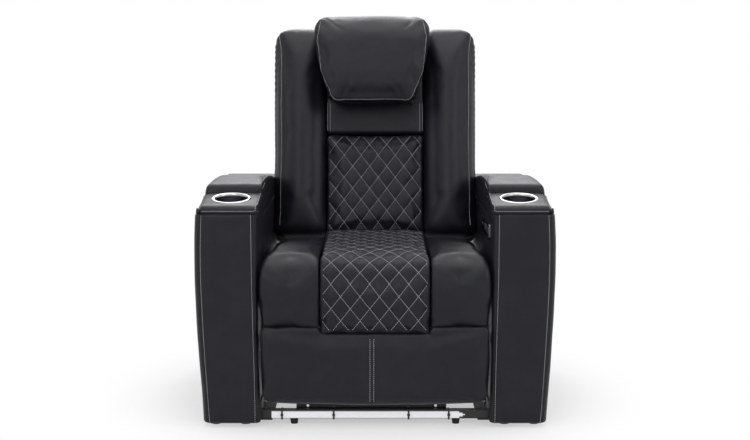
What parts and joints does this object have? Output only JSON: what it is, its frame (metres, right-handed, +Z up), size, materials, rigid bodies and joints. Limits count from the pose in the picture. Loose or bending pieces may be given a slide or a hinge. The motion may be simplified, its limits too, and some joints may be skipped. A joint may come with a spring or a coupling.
{
  "type": "cinema recliner seat",
  "caption": "Black upholstered cinema recliner with quilted seat and lumbar, box arms with cup holders and lidded bins, tilting headrest and a power footrest.",
  "frame": {"origin": "on the floor, under the middle of the box round the chair", "axes": "+Z up, -Y to the front, +X towards the arm that carries the control plate"},
  "size_m": [0.9234, 0.9001, 1.0653],
  "materials": {
    "leather": "soft black faux leather with a fine grain and a low sheen",
    "quilted_leather": "black faux leather quilted in diamonds with pale thread",
    "black_steel": "satin black powder coat",
    "zinc_steel": "bright zinc",
    "plywood": "bare birch plywood",
    "chrome": "polished",
    "black_plastic": "fine texture",
    "button_plastic": "smooth",
    "rubber": "matt",
    "light_diffuser": "milky white",
    "tray_lining": "short black felt"
  },
  "bodies": {
    "base": {"base_rails": "black_steel", "base_cross_tubes": "black_steel", "front_angle_plate": "black_steel", "base_feet": "rubber", "arm_glides": "black_plastic", "light_strip": "light_diffuser", "cable_ties": "black_plastic", "power_box": "black_plastic", "arm_frames": "plywood", "arm_inner_board_right": "plywood", "arm_cover_left": "leather", "arm_cover_right": "leather", "arm_front_left": "leather", "arm_front_right": "leather", "storage_trays": "tray_lining", "cup_holder_left": "chrome", "cup_holder_right": "chrome", "control_plate": "chrome", "usb_socket": "zinc_steel", "arm_bolts": "zinc_steel", "lid_hinges": "zinc_steel"},
    "front_links": {"front_swing_links": "black_steel"},
    "rear_links": {"rear_swing_links": "black_steel"},
    "seat": {"seat_side_plates": "black_steel", "seat_cross_tubes": "black_steel", "seat_frame": "plywood", "seat_springs": "zinc_steel", "seat_pad_left": "leather", "seat_pad_right": "leather", "seat_pad_centre": "quilted_leather"},
    "backrest": {"back_brackets": "black_steel", "back_frame": "plywood", "back_springs": "zinc_steel", "bolster_left": "leather", "bolster_right": "leather", "lumbar_pad": "quilted_leather", "upper_pad": "leather", "back_cover": "leather", "headrest_motor": "black_steel"},
    "back_motor": {"back_motor": "black_plastic"},
    "back_rod": {"back_rod": "zinc_steel"},
    "thigh_links": {"thigh_links": "black_steel", "drive_tube": "black_steel"},
    "shin_links": {"shin_links": "black_steel"},
    "footrest": {"footrest_brackets": "black_steel", "footrest_board": "plywood", "footrest_pad": "leather"},
    "footrest_motor": {"footrest_motor": "black_plastic"},
    "footrest_rod": {"footrest_rod": "zinc_steel"},
    "headrest": {"headrest_plate": "black_steel", "headrest_pad": "leather"},
    "headrest_rod": {"headrest_rod": "zinc_steel"},
    "lid_right": {"lid_board_right": "plywood", "lid_pad_right": "leather"},
    "lid_left": {"lid_board_left": "plywood", "lid_pad_left": "leather"},
    "recline_button": {"recline_button": "button_plastic"},
    "upright_button": {"upright_button": "button_plastic"},
    "light_button": {"light_button": "button_plastic"},
    "headrest_rocker": {"headrest_rocker": "button_plastic"}
  },
  "joints": [
    {"name": "recline", "type": "hinge", "parent": "seat", "child": "backrest", "pos_m": [0, 0.1, 0.385], "axis": [-1, 0, 0], "range_deg": [0, 45]},
    {"name": "front_swing", "type": "hinge", "parent": "base", "child": "front_links", "pos_m": [0, -0.23, 0.105], "axis": [1, 0, 0], "range_deg": [0, 40.01]},
    {"name": "seat_level", "type": "hinge", "parent": "front_links", "child": "seat", "pos_m": [0, -0.19238, 0.20837], "axis": [1, 0, 0], "range_deg": [-40.01, 0]},
    {"name": "rear_swing", "type": "hinge", "parent": "base", "child": "rear_links", "pos_m": [0, 0.03, 0.105], "axis": [1, 0, 0], "range_deg": [0, 40.01]},
    {"name": "back_motor_pivot", "type": "hinge", "parent": "seat", "child": "back_motor", "pos_m": [0.06, -0.19, 0.25], "axis": [-1, 0, 0], "range_deg": [0, 5.77]},
    {"name": "back_motor_slide", "type": "slide", "parent": "back_motor", "child": "back_rod", "axis": [0, 0.9987, 0.0519], "range_m": [-0.10943, 0]},
    {"name": "footrest", "type": "hinge", "parent": "seat", "child": "thigh_links", "pos_m": [0, -0.275, 0.228], "axis": [-1, 0, 0], "range_deg": [0, 116.65]},
    {"name": "footrest_knee", "type": "hinge", "parent": "thigh_links", "child": "shin_links", "pos_m": [0, -0.19, 0.072], "axis": [-1, 0, 0], "range_deg": [-126.69, 0]},
    {"name": "footrest_board_turn", "type": "hinge", "parent": "shin_links", "child": "footrest", "pos_m": [0, -0.373, 0.212], "axis": [-1, 0, 0], "range_deg": [0, 100.04]},
    {"name": "footrest_motor_pivot", "type": "hinge", "parent": "seat", "child": "footrest_motor", "pos_m": [-0.06, 0.062, 0.15], "axis": [-1, 0, 0], "range_deg": [0, 3.38]},
    {"name": "footrest_motor_slide", "type": "slide", "parent": "footrest_motor", "child": "footrest_rod", "axis": [0, -0.9896, 0.1436], "range_m": [0, 0.05778]},
    {"name": "headrest_tilt", "type": "hinge", "parent": "backrest", "child": "headrest", "pos_m": [0, 0.18045, 0.81588], "axis": [1, 0, 0], "range_deg": [0, 30]},
    {"name": "headrest_push", "type": "slide", "parent": "backrest", "child": "headrest_rod", "axis": [0, -0.9613, 0.2756], "range_m": [0, 0.04178]},
    {"name": "lid_right_hinge", "type": "hinge", "parent": "base", "child": "lid_right", "pos_m": [0.3745, 0.3475, 0.5745], "axis": [-1, 0, 0], "range_deg": [0, 75]},
    {"name": "lid_left_hinge", "type": "hinge", "parent": "base", "child": "lid_left", "pos_m": [-0.3745, 0.3475, 0.5745], "axis": [-1, 0, 0], "range_deg": [0, 75]},
    {"name": "recline_press", "type": "slide", "parent": "base", "child": "recline_button", "axis": [1, 0, 0], "range_m": [0, 0.001], "stiffness_N_per_m": 400},
    {"name": "upright_press", "type": "slide", "parent": "base", "child": "upright_button", "axis": [1, 0, 0], "range_m": [0, 0.001], "stiffness_N_per_m": 400},
    {"name": "light_press", "type": "slide", "parent": "base", "child": "light_button", "axis": [1, 0, 0], "range_m": [0, 0.001], "stiffness_N_per_m": 400},
    {"name": "headrest_rock", "type": "hinge", "parent": "base", "child": "headrest_rocker", "pos_m": [0.3005, -0.251, 0.495], "axis": [0, 0, 1], "range_deg": [-4, 4], "stiffness_Nm_per_rad": 0.3}
  ],
  "couplings": [
    {"joint": "front_swing", "follows": "recline", "ratio": 0.88889},
    {"joint": "seat_level", "follows": "recline", "ratio": -0.88889},
    {"joint": "rear_swing", "follows": "recline", "ratio": 0.88889},
    {"joint": "back_motor_pivot", "follows": "recline", "ratio": 0.12831},
    {"joint": "back_motor_slide", "follows": "recline", "m_per_rad": -0.13921},
    {"joint": "footrest_knee", "follows": "footrest", "ratio": -1.086},
    {"joint": "footrest_board_turn", "follows": "footrest", "ratio": 0.8575},
    {"joint": "footrest_motor_pivot", "follows": "footrest", "ratio": 0.028965},
    {"joint": "footrest_motor_slide", "follows": "footrest", "m_per_rad": 0.028331},
    {"joint": "headrest_push", "follows": "headrest_tilt", "m_per_rad": 0.079608}
  ]
}
